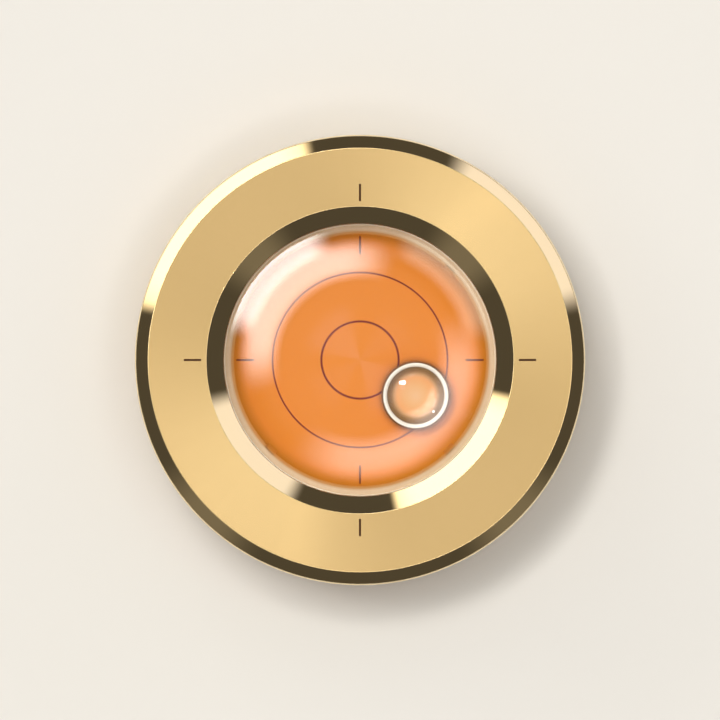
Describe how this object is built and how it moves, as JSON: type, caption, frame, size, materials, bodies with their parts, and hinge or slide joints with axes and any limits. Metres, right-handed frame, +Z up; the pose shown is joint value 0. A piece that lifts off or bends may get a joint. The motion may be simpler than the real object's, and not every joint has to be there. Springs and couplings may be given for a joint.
{
  "type": "circular bubble level",
  "caption": "Round brass bubble level: a turned ring case with a domed glass lens over a dyed spirit vial, whose bubble runs off centre when the surface is out of level.",
  "frame": {"origin": "centre of the ring-shaped resting face, on the surface that the level stands on", "axes": "+Z up, out of the lens; +Y towards the tick at the top of the picture; +X towards the tick at its right"},
  "size_m": [0.06, 0.06, 0.014],
  "materials": {
    "case_brass": "turned brass, brushed top face with polished chamfers",
    "inner_brass": "turned brass, left from the lathe",
    "screw_brass": "machined brass",
    "lens_glass": "polished dome, with a ground flat underside at the rim",
    "seal_rubber": "black rubber",
    "dish_enamel": "gloss orange enamel",
    "mark_paint": "dark brown paint in engraved lines",
    "dyed_spirit": "clear liquid with an orange dye",
    "bubble_air": "air bubble with a bright rim"
  },
  "bodies": {
    "case": {"case": "case_brass", "lens_gasket": "seal_rubber", "lens": "lens_glass", "sealing_ring": "seal_rubber", "vial_cup": "inner_brass", "reflector_dish": "dish_enamel", "inner_circle": "mark_paint", "outer_circle": "mark_paint", "dish_tick_e": "mark_paint", "dish_tick_n": "mark_paint", "dish_tick_w": "mark_paint", "dish_tick_s": "mark_paint", "face_tick_e": "mark_paint", "face_tick_n": "mark_paint", "face_tick_w": "mark_paint", "face_tick_s": "mark_paint", "filler_screw": "screw_brass", "filler_washer": "seal_rubber", "retaining_ring": "inner_brass", "base_plate": "inner_brass", "base_screws": "screw_brass"},
    "spirit": {"spirit": "dyed_spirit"},
    "bubble": {"bubble": "bubble_air"}
  },
  "joints": [
    {"name": "bubble_bearing", "type": "hinge", "parent": "case", "child": "spirit", "pos_m": [0, 0, 0.0077], "axis": [0, 0, 1], "continuous": true},
    {"name": "bubble_offset", "type": "hinge", "parent": "spirit", "child": "bubble", "pos_m": [0, 0, -0.10555], "axis": [0.5373, 0.8434, 0], "range_deg": [-4.33, 0.8], "stiffness_Nm_per_rad": 0.0003, "springref_deg": -4.33, "deforming": ["spirit"]}
  ]
}
